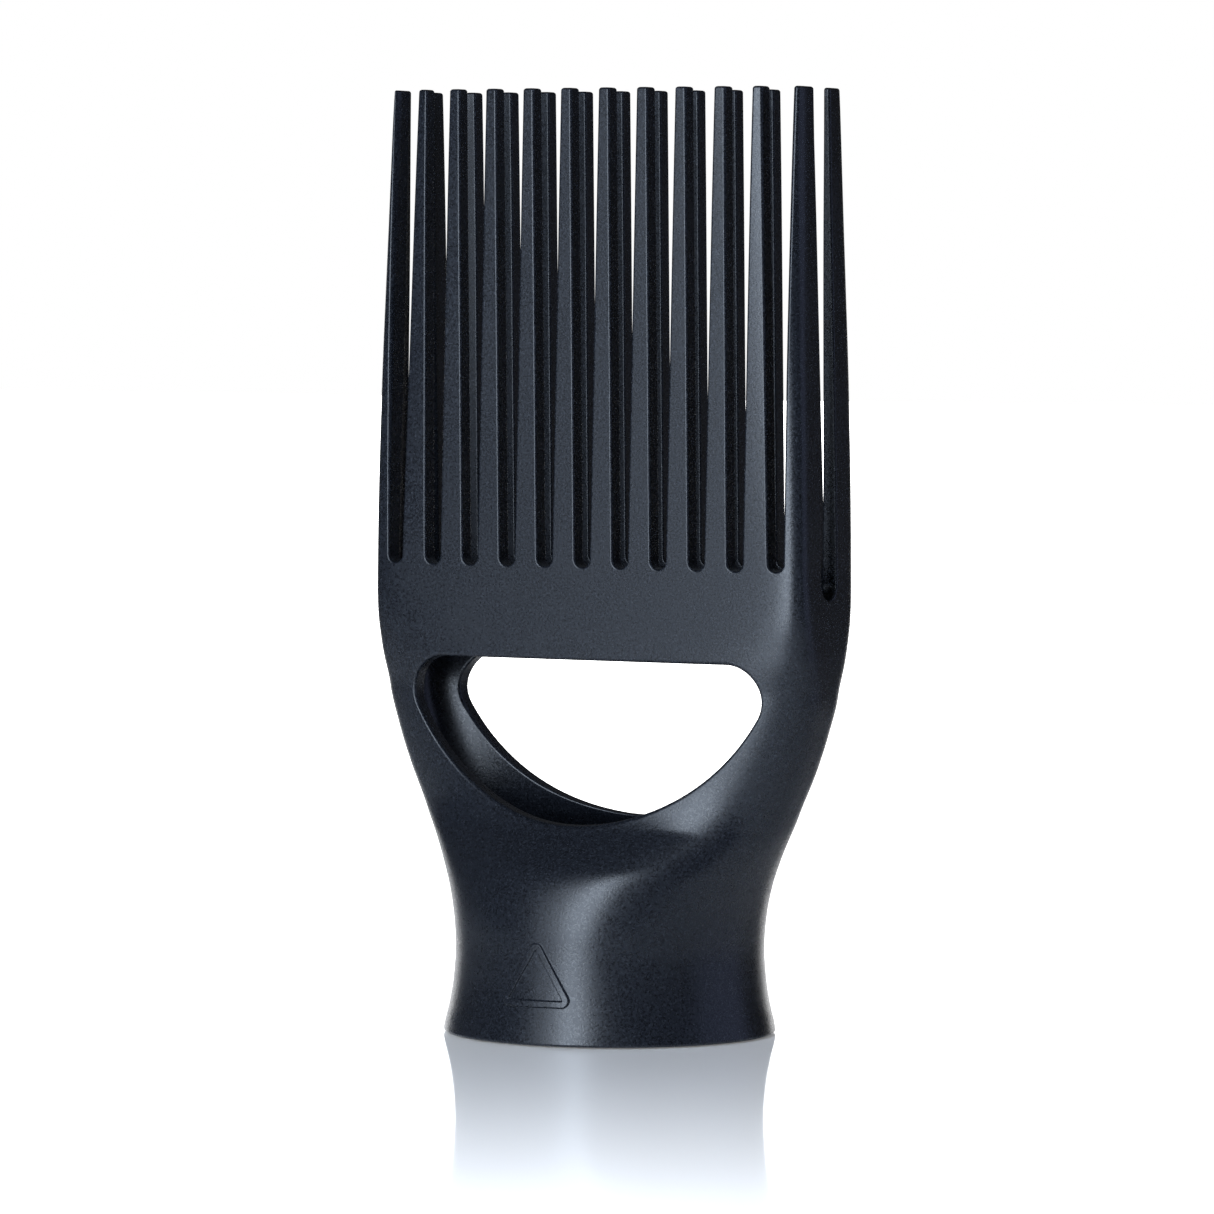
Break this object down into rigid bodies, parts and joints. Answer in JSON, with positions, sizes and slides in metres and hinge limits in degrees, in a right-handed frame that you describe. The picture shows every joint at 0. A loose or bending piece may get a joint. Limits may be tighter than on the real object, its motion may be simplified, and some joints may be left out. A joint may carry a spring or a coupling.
{
  "type": "hair dryer comb nozzle",
  "caption": "Round socket flaring into a wide flat duct with a half-moon window through both faces and two facing rows of long tapered comb teeth.",
  "frame": {"origin": "centre of the flat foot of the socket, where the dryer's barrel goes in", "axes": "+Z from the barrel towards the tips of the teeth, X the wide way, -Y the front with the raised mark"},
  "size_m": [0.0756, 0.0518, 0.146],
  "materials": {
    "graphite_plastic": "satin dark graphite with a very fine metallic fleck",
    "grip_rubber": "matt black"
  },
  "bodies": {
    "root": {"nozzle_body": "graphite_plastic", "front_tooth_01": "graphite_plastic", "front_tooth_02": "graphite_plastic", "front_tooth_03": "graphite_plastic", "front_tooth_04": "graphite_plastic", "front_tooth_05": "graphite_plastic", "front_tooth_06": "graphite_plastic", "front_tooth_07": "graphite_plastic", "front_tooth_08": "graphite_plastic", "front_tooth_09": "graphite_plastic", "front_tooth_10": "graphite_plastic", "front_tooth_11": "graphite_plastic", "front_tooth_12": "graphite_plastic", "back_tooth_01": "graphite_plastic", "back_tooth_02": "graphite_plastic", "back_tooth_03": "graphite_plastic", "back_tooth_04": "graphite_plastic", "back_tooth_05": "graphite_plastic", "back_tooth_06": "graphite_plastic", "back_tooth_07": "graphite_plastic", "back_tooth_08": "graphite_plastic", "back_tooth_09": "graphite_plastic", "back_tooth_10": "graphite_plastic", "back_tooth_11": "graphite_plastic", "back_tooth_12": "graphite_plastic", "socket_grip_ring": "grip_rubber"}
  },
  "joints": []
}
